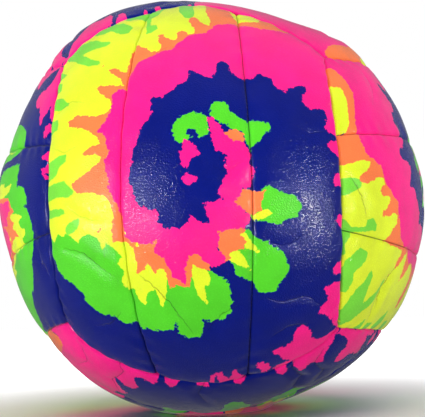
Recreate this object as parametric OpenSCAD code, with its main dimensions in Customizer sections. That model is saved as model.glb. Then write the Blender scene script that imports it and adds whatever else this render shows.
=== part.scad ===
// Juggling ball: a cover of eighteen sewn leatherette strips round a bag of seed.
// The strips lie in six groups of three, one group for each side of a cube blown up into a ball.
// A group's long sides meet the ends of its neighbours' strips, so no two seams cross.
// Every strip is crowned, rolls over at its edges and is turned in, and a thread runs in each seam
// between two turned-in edges. The ball is a little out of round, as a hand-filled one is.
// The origin is the middle of the flat patch that it rests on. Lengths are in millimetres.

/* [Ball] */
// Width over the cover, before it is filled out of round
ball_d = 70; // [62:1:76]
// Height of the ball's centre above its flat patch, as a share of half its width
centre_share = 0.955; // [0.945:0.001:0.96]
// Radius of the flat patch
rest_r = 7; // [5:0.5:7]

/* [Strips] */
// Thickness of the leatherette
leather_t = 1; // [0.7:0.1:1.2]
// Radius of the rolled shoulder along every edge
shoulder_r = 1.4; // [1:0.1:1.6]
// How far the middle of a strip stands above its edges, shoulder aside
crown = 0.4; // [0:0.1:0.6]
// How far below the surface the turned-in edges reach
turn_in = 2.6; // [2.4:0.1:3]
// Gap between the turned-in edges of two neighbouring strips
seam_gap = 0.6; // [0.55:0.05:0.8]
// How far a group's long sides draw in halfway along, as a share of half the cube's side
side_bow = 0.24; // [0.2:0.01:0.26]
// Half the middle strip's width at its waist, in the same measure
strip_half = 0.27; // [0.24:0.01:0.29]
// How much that grows towards the strip's ends
strip_flare = 0.03; // [0:0.01:0.04]

/* [Thread] */
// Thickness of the sewing thread
thread_d = 0.3; // [0.2:0.05:0.35]
// Distance from one stitch to the next
stitch_pitch = 3.4; // [3:0.1:5]
// Length of the opening that is sewn up by hand after filling
closing_l = 26; // [20:1:32]
// Distance from one hand stitch to the next
closing_pitch = 2.2; // [2:0.1:3]

/* [Inner bag] */
// Thickness of the bag's cotton cloth
bag_t = 0.4; // [0.3:0.1:0.6]
// Room left between the bag and the turned-in edges
bag_room = 0.5; // [0.4:0.1:1]

/* [Hidden] */
// A group: its name, the way it faces, the way its strips run, the way across them, and its strips' names
GROUPS = [
    ["front", [0, -1, 0], [0, 0, 1], [1, 0, 0], ["left", "middle", "right"]],
    ["right", [1, 0, 0], [0, -1, 0], [0, 0, 1], ["lower", "middle", "upper"]],
    ["top", [0, 0, 1], [1, 0, 0], [0, -1, 0], ["back", "middle", "front"]],
    ["left", [-1, 0, 0], [0, 1, 0], [0, 0, 1], ["lower", "middle", "upper"]],
    ["bottom", [0, 0, -1], [-1, 0, 0], [0, -1, 0], ["back", "middle", "front"]],
    ["back", [0, 1, 0], [0, 0, -1], [1, 0, 0], ["left", "middle", "right"]],
];
STRIPS = [0, 1, 2];
// The four long edges in a group: its low side, its two inner seams, its high side
EDGES = [0, 1, 2, 3];
EDGE_SUFFIX = ["side", "seam", "seam", "side"];
COLOURS = ["gold", "deeppink", "midnightblue"];

function half_of(edge) = edge < 2 ? 0 : 2;
function panel_name(g, k) = str(g[0], "_", g[4][k], "_panel");
function thread_name(g, edge) = str(g[0], "_", g[4][half_of(edge)], "_", EDGE_SUFFIX[edge], "_thread");

ball_r = ball_d / 2;
centre_h = ball_r * centre_share;

// Where the ball is out of round: [direction, how far it stands out there, spread]
BULGES = [
    [[-5, -3, 8], 2.5, 0.1],
    [[3, -2, 9], -1, 0.08],
    [[3, 0, -10], -1.5, 0.12],
    [[7, -3, 7], 1, 0.02],
    [[-9, -4, 1], 1, 0.02],
];
// Where the cover is sewn off true, at four of the cube's corners and at both ends of the front
// group: [direction, shift, spread]
PULLS = [
    [[1, -1, 1], [-0.5, -1, -0.5], 0.2],
    [[1, -1, -1], [-0.5, 0, -0.5], 0.2],
    [[-1, -1, -1], [0, -1.5, 1.5], 0.2],
    [[-1, -1, 1], [0.5, 0, 0.5], 0.2],
    [[0, -3, 4], [0, 3.5, 2.5], 0.05],
    [[0, -3, -4], [0, 0.5, -0.5], 0.05],
];
// Width of the band round the flat patch over which the underside rises back to the ball's own shape
rest_edge = 2.5;

// Angles round the rolled shoulder where the strip's mesh has a line
SHOULDER_ANGLES = [0, 35, 65, 90];
// Cells across and along the flat part of a strip, and on the strip that the ball rests on
CELLS = [4, 10];
REST_CELLS = [10, 30];
// Lengths of bare seam at its ends and between stitches, and how deep in the seam the thread lies
seam_end = 1.6;
stitch_gap = 0.9;
thread_depth = (crown + shoulder_r + turn_in) / 2;

deepest_dip = min([for (b = BULGES) b[1]]);
bag_r = ball_r + deepest_dip - turn_in - bag_room;
fill_r = bag_r - bag_t - 0.05;

function unit(v) = v / norm(v);
function mix(low, high, share) = low + (high - low) * share;
function arc(u, v) = ball_r * acos(min(1, u * v)) * PI / 180;

// The out-of-round shape: a direction after the pulls, and the surface's radius there
function pulled(v) = unit(
    ball_r * v + [for (c = PULLS) exp((v * unit(c[0]) - 1) / c[2])] * [for (c = PULLS) c[1]]
);
function surface_r(v) =
    ball_r + [for (b = BULGES) exp((v * unit(b[0]) - 1) / b[2])] * [for (b = BULGES) b[1]];
// How much of its own height a low point keeps at a distance from the patch's middle, from 0 to 1
function kept_height(r) =
    let (t = max(0, min(1, (r - rest_r) / rest_edge)))
    t * t * (3 - 2 * t);
// A point on a direction, depth below the surface. The underside is settled onto the flat patch,
// where the point lies floor_h above the surface that the ball rests on
function place(v, depth, floor_h) =
    let (
        p = pulled(v) * (surface_r(v) - depth),
        low = floor_h - centre_h,
        high = max(p[2], low)
    )
    [p[0], p[1], p[2] > 0 ? high : mix(low, high, kept_height(norm([p[0], p[1]])))];

// Lines on one side of the cube, before it is blown up, as [across, along] with the side 2 wide
function side_at(q) = 1 - side_bow * (1 - q * q);
function seam_at(q) = strip_half + strip_flare * q * q;
function edge_at(edge, q) =
    edge == 0 ? -side_at(q) :
    edge == 1 ? -seam_at(q) :
    edge == 2 ? seam_at(q) :
    side_at(q);
function end_at(p) =
    let (k = 1 - side_bow, a = min(1, abs(p)))
    (1 + sqrt(1 - 4 * k * side_bow * a * a)) / (2 * k);
// The spot on strip k at a share across it (0 to 1) and along it (-1 to 1), closed in on by turns
function spot(k, across, along, turns = 12) =
    turns == 0 ? [0, 0] :
    let (q = along * end_at(spot(k, across, along, turns - 1)[0]))
    [mix(edge_at(k, q), edge_at(k + 1, q), across), q];
function direction(g, s) = unit(g[1] + s[1] * g[2] + s[0] * g[3]);
function width_of(g, k, along) = arc(direction(g, spot(k, 0, along)), direction(g, spot(k, 1, along)));
function length_of(g, k, across) =
    arc(direction(g, spot(k, across, -1)), direction(g, spot(k, across, 0))) +
    arc(direction(g, spot(k, across, 0)), direction(g, spot(k, across, 1)));

// Shares of a span where the mesh has a line: close together on both shoulders, even between
function shares(span, first, cells) =
    let (
        near = [for (a = SHOULDER_ANGLES) (first + shoulder_r * (1 - cos(a))) / span],
        last = near[len(near) - 1]
    )
    concat(
        near,
        [for (i = [1:cells - 1]) mix(last, 1 - last, i / cells)],
        [for (i = [len(near) - 1:-1:0]) 1 - near[i]]
    );
// How far the rolled shoulder falls where the edges are e[0] and e[1] away
function shoulder_fall(e) =
    let (
        reach = seam_gap / 2 + shoulder_r,
        d = norm([max(0, reach - e[0]), max(0, reach - e[1])])
    )
    shoulder_r - sqrt(max(0, shoulder_r * shoulder_r - d * d));
function crown_fall(across, along) = crown * (pow(2 * across - 1, 2) + pow(along, 6)) / 2;

// One face of a strip as rows of [direction, depth]. first is how far in from the seam it starts
function face_rows(g, k, cells, first, outer) =
    let (mid_l = length_of(g, k, 0.5), rough = shares(mid_l, first, cells[1]))
    [
        for (j = [0:len(rough) - 1])
            let (w = width_of(g, k, 2 * rough[j] - 1))
            [
                for (across = shares(w, first, cells[0]))
                    let (
                        l = length_of(g, k, across),
                        run = shares(l, first, cells[1])[j],
                        along = 2 * run - 1,
                        e = [min(across, 1 - across) * w, min(run, 1 - run) * l],
                        fall = outer ? shoulder_fall(e) : leather_t
                    )
                    [direction(g, spot(k, across, along)), crown_fall(across, along) + fall]
            ]
    ];
function flat_list(rows) = [for (row = rows) for (item = row) item];

// The border of a grid in order, the triangles of a grid, and those of a band between two borders
function border(rows, columns) = concat(
    [for (c = [0:columns - 2]) c],
    [for (r = [0:rows - 2]) r * columns + columns - 1],
    [for (c = [columns - 1:-1:1]) (rows - 1) * columns + c],
    [for (r = [rows - 1:-1:1]) r * columns]
);
function grid_faces(rows, columns, start, outer) = [
    for (r = [0:rows - 2], c = [0:columns - 2])
        let (
            a = start + r * columns + c,
            b = a + 1,
            d = a + columns,
            e = d + 1
        )
        for (face = outer ? [[a, d, e], [a, e, b]] : [[a, e, d], [a, b, e]]) face
];
function band_faces(from, to) =
    let (n = len(from))
    [
        for (i = [0:n - 1])
            let (j = (i + 1) % n)
            for (face = [[from[i], from[j], to[j]], [from[i], to[j], to[i]]]) face
    ];

module panel(g, k, cells) {
    inset = seam_gap / 2;
    outer_rows = face_rows(g, k, cells, inset, true);
    rows = len(outer_rows);
    columns = len(outer_rows[0]);
    outer = flat_list(outer_rows);
    inner = flat_list(face_rows(g, k, cells, inset + leather_t, false));
    edge = border(rows, columns);
    count = rows * columns;
    ring = len(edge);
    outer_rim = [for (i = [0:ring - 1]) count + i];
    inner_rim = [for (i = [0:ring - 1]) count + ring + i];
    inner_edge = [for (i = edge) count + 2 * ring + i];
    points = concat(
        [for (s = outer) place(s[0], s[1], 0)],
        [for (i = edge) place(outer[i][0], turn_in, turn_in)],
        [for (i = edge) place(inner[i][0], turn_in, turn_in)],
        [for (s = inner) place(s[0], s[1], leather_t)]
    );
    faces = concat(
        grid_faces(rows, columns, 0, true),
        band_faces(edge, outer_rim),
        band_faces(outer_rim, inner_rim),
        band_faces(inner_rim, inner_edge),
        grid_faces(rows, columns, count + 2 * ring, false)
    );
    color(COLOURS[k])
        translate([0, 0, centre_h])
            polyhedron(points, faces, convexity = 6);
}

// How high on the cube's side a seam ends, closed in on by turns, and its angle from the middle there
function seam_top(edge, turns = 12) =
    edge % 3 == 0 || turns == 0 ? 1 : end_at(seam_at(seam_top(edge, turns - 1)));
function seam_angle(edge) =
    let (g = GROUPS[0], q = seam_top(edge))
    acos(direction(g, [edge_at(edge, 0), 0]) * direction(g, [edge_at(edge, q), q]));
// A point in a seam, at a share from -1 to 1 of its length
function seam_point(g, edge, share) =
    let (
        angle = seam_angle(edge),
        q = seam_top(edge) * tan(share * angle) / tan(angle)
    )
    place(direction(g, [edge_at(edge, q), q]), thread_depth, thread_depth);
function seam_half_l(edge) = ball_r * seam_angle(edge) * PI / 180;

module run_of_thread(from, to, d) {
    way = to - from;
    translate([0, 0, centre_h])
        translate(from)
            rotate([0, acos(way[2] / norm(way)), atan2(way[1], way[0])])
                cylinder(h = norm(way), d = d, $fn = 16);
}

// Stitches at an even pitch from one distance to another along a seam, measured from its middle
module stitches(g, edge, start, end, pitch) {
    half_l = seam_half_l(edge);
    count = floor((end - start) / pitch);
    step = (end - start) / count;
    for (i = [0:count - 1]) {
        from = start + i * step + stitch_gap / 2;
        run_of_thread(
            seam_point(g, edge, from / half_l),
            seam_point(g, edge, (from + step - stitch_gap) / half_l),
            thread_d
        );
    }
}

// The opening is in the back group's left inner seam, where the machine's thread stops short of it
function is_closed_by_hand(g, edge) = g[0] == "back" && edge == 1;

module seam_thread(g, edge) {
    reach = seam_half_l(edge) - seam_end;
    color("navy")
        if (is_closed_by_hand(g, edge)) {
            stitches(g, edge, -reach, -closing_l / 2, stitch_pitch);
            stitches(g, edge, closing_l / 2, reach, stitch_pitch);
        } else {
            stitches(g, edge, -reach, reach, stitch_pitch);
        }
}

module closing_thread() {
    color("navy")
        for (g = GROUPS, edge = EDGES)
            if (is_closed_by_hand(g, edge))
                stitches(g, edge, -closing_l / 2, closing_l / 2, closing_pitch);
}

module inner_bag() {
    color("ivory")
        translate([0, 0, centre_h])
            difference() {
                sphere(r = bag_r, $fn = 96);
                sphere(r = bag_r - bag_t, $fn = 96);
            }
}

module seed_fill() {
    color("wheat")
        translate([0, 0, centre_h])
            sphere(r = fill_r, $fn = 96);
}

for (g = GROUPS, k = STRIPS)
    panel(g, k, g[0] == "bottom" && k == 1 ? REST_CELLS : CELLS);
for (g = GROUPS, edge = EDGES)
    seam_thread(g, edge);
closing_thread();
inner_bag();
seed_fill();
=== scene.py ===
import math

import bmesh
import bpy
import numpy as np
from mathutils import Matrix, Vector
from mathutils.kdtree import KDTree


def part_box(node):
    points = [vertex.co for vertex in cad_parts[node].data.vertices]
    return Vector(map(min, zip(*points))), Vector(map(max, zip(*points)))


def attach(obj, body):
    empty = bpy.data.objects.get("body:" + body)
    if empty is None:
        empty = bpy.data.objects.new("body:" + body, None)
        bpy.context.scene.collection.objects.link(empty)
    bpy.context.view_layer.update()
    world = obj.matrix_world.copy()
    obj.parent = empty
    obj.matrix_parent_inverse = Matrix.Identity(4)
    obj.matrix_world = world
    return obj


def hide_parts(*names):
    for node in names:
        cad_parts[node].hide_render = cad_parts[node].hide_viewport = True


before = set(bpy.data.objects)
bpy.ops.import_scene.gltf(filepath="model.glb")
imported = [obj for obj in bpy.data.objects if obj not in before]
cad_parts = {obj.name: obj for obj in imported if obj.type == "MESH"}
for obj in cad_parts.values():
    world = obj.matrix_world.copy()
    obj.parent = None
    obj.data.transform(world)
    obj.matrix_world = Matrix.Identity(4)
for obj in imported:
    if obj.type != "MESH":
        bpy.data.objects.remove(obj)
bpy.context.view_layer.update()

# Juggling ball: eighteen stuffed leatherette strips, sewn edge to edge round a bag of seed.
# Shapes are worked out in millimetres from the ball's centre, and go to metres in new_mesh.
MM = 0.001
SEED = 20

# ---------------------------------------------------------------- dimensions
# the frame gives the ball's centre and, through the seed inside it, the ball's radius
LEATHER_T = 1.0
TURN_IN = 2.6
BAG_T = 0.4
BAG_ROOM = 0.5
SEED_ROOM = 0.05
DEEPEST_DIP = -1.5
seed_low, seed_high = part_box("seed_fill")
CENTRE_H = (seed_low.z + seed_high.z) / 2 / MM
FILL_R = (seed_high.x - seed_low.x) / 2 / MM
BAG_R = FILL_R + BAG_T + SEED_ROOM
BALL_R = BAG_R + TURN_IN + BAG_ROOM - DEEPEST_DIP
CENTRE = np.array([0, 0, CENTRE_H])

# the strips' layout, in halves of the side of a cube that is blown up into the ball, and how
# many rounds it takes to close in on a spot in it
ROUNDS = 12
SIDE_BOW = 0.24
STRIP_HALF = 0.27
STRIP_FLARE = 0.03

# name, the way it faces, the way its strips run, the way across them, its strips' names
GROUPS = [
    ("front", (0, -1, 0), (0, 0, 1), (1, 0, 0), ("left", "middle", "right")),
    ("right", (1, 0, 0), (0, -1, 0), (0, 0, 1), ("lower", "middle", "upper")),
    ("top", (0, 0, 1), (1, 0, 0), (0, -1, 0), ("back", "middle", "front")),
    ("left", (-1, 0, 0), (0, 1, 0), (0, 0, 1), ("lower", "middle", "upper")),
    ("bottom", (0, 0, -1), (-1, 0, 0), (0, -1, 0), ("back", "middle", "front")),
    ("back", (0, 1, 0), (0, 0, -1), (1, 0, 0), ("left", "middle", "right")),
]
STRIP_SLOTS = ("leather_yellow", "leather_pink", "leather_navy")

# where the ball is out of round: direction, how far it stands out there, spread
BULGES = [
    ((-5, -3, 8), 2.5, 0.1),
    ((3, -2, 9), -1, 0.08),
    ((3, 0, -10), DEEPEST_DIP, 0.12),
    ((7, -3, 7), 1, 0.02),
    ((-9, -4, 1), 1, 0.02),
]
# where the cover is sewn off true, at the cube's corners and at the front group's ends:
# direction, shift, spread
CORNER_PULLS = [
    ((1, -1, 1), (-0.5, -1, -0.5), 0.2),
    ((1, -1, -1), (-0.5, 0, -0.5), 0.2),
    ((-1, -1, -1), (0, -1.5, 1.5), 0.2),
    ((-1, -1, 1), (0.5, 0, 0.5), 0.2),
]
SEAM_PULLS = [
    ((0, -3, 4), (0, 3.5, 2.5), 0.05),
    ((0, -3, -4), (0, 0.5, -0.5), 0.05),
]
REST_R = 7.0
REST_EDGE = 2.5

# the rolled shoulder, and how the strip swells between its edges
SHOULDER_W = 0.62
SHOULDER_H = 0.42
EDGE_SOFT = 2.2
EDGE_CROWN = 0.22
BROAD_CROWN = 0.3
# how far the stuffed strips stand out beyond the plain ball
SWELL = 0.2
STITCH_PITCH = 3.4
PUCKER_REACH = 1.7
PUCKER_DEPTH = 0.07
# how far the puckers wander, and the lumps at the edges and all over: amount, size, place in the noise
WANDER = (0.9, 9, 3.1)
EDGE_LUMPS = (0.16, 2.3, 7.7)
SMALL_LUMPS = (0.05, 4, 1.3)
BROAD_LUMPS = (0.13, 9, 5.9)

# distances from the seam's middle where the mesh has a line, then even cells between them
EDGE_LINES = np.array([0.05, 0.09, 0.16, 0.28, 0.44, 0.66, 1.0, 1.4])
CELLS_ACROSS = (37, 49, 37)
CELLS_ALONG = 157
INNER_STEP = 3
FLANGE_STEPS = (0.35, 0.7, 1.0)


# ---------------------------------------------------------------- shape
def unit(v):
    v = np.asarray(v, float)
    return v / np.linalg.norm(v, axis=-1, keepdims=True)


def mix(low, high, share):
    return low + (high - low) * share


def smooth(t):
    t = np.clip(t, 0, 1)
    return t * t * (3 - 2 * t)


def bell(x, width):
    return np.exp(-(x / width) ** 2)


def pulled(v, pulls):
    shift = np.zeros_like(v)
    for way, pull, spread in pulls:
        weight = np.exp((v @ unit(way) - 1) / spread)
        shift = shift + weight[..., None] * np.array(pull)
    return unit(BALL_R * v + shift)


def surface_r(v):
    r = np.full(v.shape[:-1], BALL_R)
    for way, amount, spread in BULGES:
        r = r + amount * np.exp((v @ unit(way) - 1) / spread)
    return r


def place(v, depth, floor_h=0.0):
    """A point on direction v, depth below the surface, with the underside settled flat."""
    p = pulled(v, CORNER_PULLS + SEAM_PULLS) * (surface_r(v) - depth)[..., None]
    low = floor_h - CENTRE_H
    high = np.maximum(p[..., 2], low)
    kept = smooth((np.hypot(p[..., 0], p[..., 1]) - REST_R) / REST_EDGE)
    p[..., 2] = np.where(p[..., 2] > 0, high, mix(low, high, kept))
    return p


def edge_at(edge, q):
    side = 1 - SIDE_BOW * (1 - q * q)
    seam = STRIP_HALF + STRIP_FLARE * q * q
    return (-side, -seam, seam, side)[edge]


def end_at(p):
    k = 1 - SIDE_BOW
    a = np.minimum(1, np.abs(p))
    return (1 + np.sqrt(1 - 4 * k * SIDE_BOW * a * a)) / (2 * k)


def spot(k, across, along):
    """Where strip k is at a share across it, 0 to 1, and along it, -1 to 1, on the cube's side."""
    p = np.zeros(np.broadcast(across, along).shape)
    q = p
    for _ in range(ROUNDS):
        q = along * end_at(p)
        p = mix(edge_at(k, q), edge_at(k + 1, q), across)
    return p, q


def direction(group, p, q):
    out, along, across = (np.array(v, float) for v in group[1:4])
    return unit(out + q[..., None] * along + p[..., None] * across)


def arc(a, b):
    return BALL_R * np.arccos(np.clip((a * b).sum(-1), -1, 1))


def width_at(k, along):
    g = GROUPS[0]
    low = direction(g, *spot(k, np.zeros_like(along), along))
    high = direction(g, *spot(k, np.ones_like(along), along))
    return arc(low, high)


def length_at(k, across):
    g = GROUPS[0]
    ends = [direction(g, *spot(k, across, np.full_like(across, a))) for a in (-1, 0, 1)]
    return arc(ends[0], ends[1]) + arc(ends[1], ends[2])


def mesh_lines(cells):
    """Lines of a mesh over a span, as share = a / span + b: close at both edges, even between."""
    i = np.arange(1, cells)
    last = EDGE_LINES[-1]
    a = np.concatenate([EDGE_LINES, last * (1 - 2 * i / cells), -EDGE_LINES[::-1]])
    b = np.concatenate([np.zeros(len(EDGE_LINES)), i / cells, np.ones(len(EDGE_LINES))])
    return a, b


def strip_grid(k, inset):
    """Directions' (p, q), shares and distances from the edges of strip k's mesh, set in by inset."""
    column_a, column_b = mesh_lines(CELLS_ACROSS[k])
    row_a, row_b = mesh_lines(CELLS_ALONG)
    middle_l = length_at(k, np.array([0.5]))[0]
    rough = row_a / middle_l + row_b
    w = width_at(k, 2 * rough - 1)[:, None]
    across = column_a[None] / w + column_b[None]
    across = across * (1 - 2 * inset / w) + inset / w
    l = length_at(k, across)
    run = row_a[:, None] / l + row_b[:, None]
    run = run * (1 - 2 * inset / l) + inset / l
    along = 2 * run - 1
    p, q = spot(k, across, along)
    ex = np.minimum(across, 1 - across) * w
    ey = np.minimum(run, 1 - run) * l
    return {"p": p, "q": q, "across": across, "along": along, "ex": ex, "ey": ey,
            "run_mm": run * l, "across_mm": across * w}


# ---------------------------------------------------------------- noise
rng = np.random.default_rng(SEED)
LATTICE = rng.uniform(-1, 1, (32, 32, 32))


def noise(points, size, shift=0.0):
    """Smooth noise from -1 to 1 with lumps of that size, in the points' own units."""
    x = np.asarray(points) / size + shift
    cell = np.floor(x).astype(int)
    t = smooth(x - cell)
    total = 0
    for corner in np.ndindex(2, 2, 2):
        at = (cell + corner) % 32
        weight = np.prod(np.where(np.array(corner) == 1, t, 1 - t), axis=-1)
        total = total + weight * LATTICE[at[..., 0], at[..., 1], at[..., 2]]
    return total


def uneven(points, kind):
    amount, size, shift = kind
    return amount * noise(points, size, shift)


# ---------------------------------------------------------------- creases
# the folds of the front group: strip, points as degrees across and along, depth, half width
FRONT_CREASES = [
    (0, [(-33, -18), (-27, -18.5), (-22, -22), (-20, -23.5)], 0.36, 0.75),
    (0, [(-30, -6), (-26, -9), (-21, -10)], 0.2, 0.7),
    (0, [(-36, 12), (-31, 9), (-27, 10)], 0.22, 0.7),
    (0, [(-38, 22), (-32, 24), (-27, 22)], 0.2, 0.7),
    (0, [(-20, -33), (-24, -37), (-30, -39)], 0.3, 0.7),
    (1, [(-13, -22), (-9, -25), (-6, -28), (-3, -32), (0, -36)], 0.42, 0.8),
    (1, [(13, -29), (8, -31), (4, -35)], 0.25, 0.7),
    (1, [(-12, 30), (-6, 33), (0, 32)], 0.18, 0.8),
    (1, [(14, 4), (9, 1), (6, 2)], 0.14, 0.8),
    (2, [(18, -28), (24, -30), (30, -29.5), (34, -33)], 0.24, 0.6),
    (2, [(18, -15), (23, -16), (27, -14)], 0.22, 0.65),
    (2, [(22, -39), (27, -37), (33, -38)], 0.3, 0.7),
    (2, [(35, 14), (30, 12), (25, 14)], 0.18, 0.7),
]
# the folds on the underside's front strip, where the ball's weight gathers the cover
BOTTOM_CREASES = [
    (2, [(42, -31), (37, -27), (31, -28), (25, -24), (19, -25)], 0.55, 0.8),
    (2, [(40, -38), (35, -33), (28, -34), (22, -30)], 0.4, 0.75),
    (2, [(43, 3), (38, -1), (33, 2), (27, 0)], 0.35, 0.7),
    (2, [(42, 27), (36, 24), (30, 27), (23, 25)], 0.35, 0.7),
    (2, [(40, 38), (34, 35), (28, 38)], 0.25, 0.7),
]
HAND_CREASES = {"front": FRONT_CREASES, "bottom": BOTTOM_CREASES}
CREASES_PER_STRIP = 5
# across a fold: share of its depth and width in half widths, for its slit, its valley and the
# ridge beside it, and how far off that ridge lies
SLIT = (0.35, 0.5)
VALLEY = (0.4, 1.5)
RIDGE = (0.2, 1.3)
RIDGE_OFF = 2.6
# the sharp line in a fold, sunk in and darkened with painted shade: how far it shows, the depth of fold from
# which it is full, and off it
LINE_REACH = 0.7
FULL_DEPTH = 0.35
NO_LINE = 9.0
# the share of its length over which a fold doesn't start from nothing
FOLD_END = 0.04
# folds fade out this close to a seam
FOLD_CLEAR = 0.9


def seeded_creases(k, rng):
    """Folds like the front group's: each runs across the strip, away from its nearer side."""
    made = []
    for _ in range(CREASES_PER_STRIP):
        across = rng.uniform(0.02, 0.98)
        along = rng.uniform(-0.92, 0.92)
        inwards = 1 if across < 0.5 else -1
        reach = rng.uniform(0.2, 0.5)
        lean = rng.uniform(-0.14, 0.14)
        bend = rng.uniform(-0.05, 0.05)
        share = np.linspace(0, 1, 5)
        rows = along + lean * share + bend * np.sin(math.pi * share)
        p, q = spot(k, across + inwards * reach * share, rows)
        points = np.degrees(np.arctan(np.stack([p, q], -1)))
        made.append((k, points, rng.uniform(0.14, 0.42), rng.uniform(0.6, 0.9)))
    return made


MM_PER_DEGREE = BALL_R * math.pi / 180


def to_line(at, points):
    """Distance from points at to a line through points, and how far along it each lies, 0 to 1."""
    points = np.asarray(points, float)
    step = np.linalg.norm(np.diff(points, axis=0), axis=1)
    start = np.concatenate([[0], np.cumsum(step)]) / step.sum()
    nearest = np.full(at.shape[:-1], np.inf)
    share = np.zeros(at.shape[:-1])
    side = np.ones(at.shape[:-1])
    for i, (a, b) in enumerate(zip(points[:-1], points[1:])):
        way, off = b - a, at - a
        t = np.clip((off @ way) / step[i] ** 2, 0, 1)
        far = np.linalg.norm(off - t[..., None] * way, axis=-1)
        closer = far < nearest
        nearest = np.where(closer, far, nearest)
        share = np.where(closer, mix(start[i], start[i + 1], t), share)
        side = np.where(closer, np.sign(way[0] * off[..., 1] - way[1] * off[..., 0]), side)
    return nearest, share, side


def crease_fall(at_mm, creases):
    """Depth of the folds, which fade at both ends, and where the sharp line in each one lies.

    The line is thinner than the mesh's cells, so the material draws it from a signed distance, as a sunk
    bump darkened with painted shade.
    """
    fall = np.zeros(at_mm.shape[:-1])
    line = np.full(at_mm.shape[:-1], NO_LINE)
    strength = np.zeros(at_mm.shape[:-1])
    for _, points, depth, half_w in creases:
        far, share, side = to_line(at_mm, np.asarray(points) * MM_PER_DEGREE)
        fade = np.sqrt(np.clip(np.sin(math.pi * mix(FOLD_END, 1 - FOLD_END, share)), 0, 1))
        slit = SLIT[0] * bell(far, SLIT[1] * half_w)
        valley = VALLEY[0] * bell(far, VALLEY[1] * half_w)
        ridge = RIDGE[0] * bell(far - RIDGE_OFF * half_w, RIDGE[1] * half_w)
        fall = fall + depth * fade * (slit + valley - ridge)
        here = bell(far, LINE_REACH) * fade * min(1, depth / FULL_DEPTH)
        nearer = here > strength
        line = np.where(nearer, far * side, line)
        strength = np.where(nearer, here, strength)
    return fall, line, strength


# ---------------------------------------------------------------- print
# The tie-dye print that every group carries, drawn as outlines in degrees across and along the
# group. Each layer lies over the ones before it, and the cloth under them all is navy.
GREEN_SHAPES = [
    # the broad lobe at the lower left, against navy below and under yellow above
    [(-52, -10), (-52, -19), (-38.5, -20.5), (-37.2, -22.5), (-36.5, -26), (-34.5, -27.2), (-31.5, -29),
     (-30, -30), (-30.2, -32), (-28, -33.5), (-26, -34.6), (-23, -34.6), (-20, -36), (-16.5, -35.5),
     (-15.5, -36.5), (-9, -36.3), (-6, -35.5), (-4.6, -33.6), (-3.8, -34), (-4.2, -36.8), (-1.5, -37.4),
     (1, -37.3), (2.5, -36), (2.8, -33.5), (2.6, -32), (5, -33), (8, -33), (10, -31.5), (10.4, -28.5),
     (9.6, -24), (7, -21.8), (4, -20.5), (0, -14), (-15, -8)],
    # two lobes right of the core
    [(9.5, -16), (10.3, -19.5), (11.5, -22), (14, -23.5), (15.5, -24), (16.5, -25.8), (19, -26.8),
     (21, -26.5), (22.3, -24.8), (23.6, -22.8), (23.8, -20.3), (22.3, -18), (20.6, -16.3), (18.6, -15),
     (16, -14), (14.2, -12), (12, -11.4), (10.5, -13)],
    [(14.5, -9.3), (17.5, -10.2), (21.5, -11), (22.3, -10.2), (25, -9), (26.3, -7.2), (25.5, -5.2),
     (24.3, -4.3), (21.8, -4), (19.6, -2.3), (18, -2.6), (15, -4)],
    # a ragged chain over the core's right shoulder
    [(6.3, 14), (6.8, 16.6), (8.4, 17.8), (10, 17.3), (10.6, 15.6), (11.4, 14.2), (13.2, 13.8), (14.8, 12.8),
     (17, 13.6), (20, 13), (19.6, 11.4), (18, 9.6), (15.2, 6.3), (14.2, 7.4), (13.6, 10.2), (10.8, 11.2),
     (10.2, 12.6), (8.7, 12.2), (7.4, 13.2)],
    # a hook over the core
    [(-2.7, 10.4), (-1.4, 13), (0.2, 13.8), (2.2, 14.9), (4.4, 14.2), (5.4, 13), (6, 10.8), (5.2, 9),
     (3.8, 8.8), (2.8, 10.4), (1.2, 10.8), (0.6, 9.8), (2.2, 8.2), (0.8, 7.6), (-1, 7.6), (-2, 8.6)],
]
YELLOW_SHAPES = [
    # the left strip and the head of the group, with drips into the green below
    [(-52, 62), (7, 62), (6.4, 52), (8.4, 46.6), (6.6, 42), (0, 36), (-12, 28), (-14, 0), (-12, -10),
     (-9, -16), (-5, -18), (-5, -22), (-5.4, -25), (-6.4, -27.6), (-7.6, -30), (-8, -27), (-8.8, -25.6),
     (-10.6, -26.2), (-12, -29.6), (-13.6, -29.4), (-14.2, -26), (-16, -26.6), (-17.4, -25), (-16, -22.4),
     (-17.2, -20.2), (-16.2, -18.6), (-17.6, -16.4), (-19.6, -15), (-20.8, -17.2), (-21.6, -14),
     (-24, -13.2), (-26.4, -14), (-27.6, -16.2), (-29, -14.6), (-31, -13.4), (-32.6, -14.8), (-34, -13.6),
     (-36, -16.8), (-38, -14.4), (-52, -14)],
    # drips beside it and in the two lobes
    [(0.8, -18), (1, -22), (1.6, -25), (2.8, -27.6), (4.4, -29), (3.8, -26), (3.6, -23.6), (5, -24.4),
     (4.8, -21.6), (3.4, -18)],
    [(8, -16), (11.4, -16.2), (13, -17.8), (15, -21.4), (12, -19.8), (9, -18)],
    [(11.4, -12.2), (13.2, -12.8), (14.8, -15), (16.8, -17.2), (13.6, -16.2), (12.4, -14)],
    [(15, -8.6), (18.2, -7.6), (19.6, -8.4), (17.4, -9.6), (15, -9.8)],
    # the right of the head
    [(16.2, 62), (16.6, 49.2), (18.2, 48), (24, 48.6), (27, 50.4), (29, 53), (31, 62)],
    [(31.8, 49.4), (34, 49.4), (36.4, 51.6), (35, 54.6), (32.8, 52.4)],
]
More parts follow.
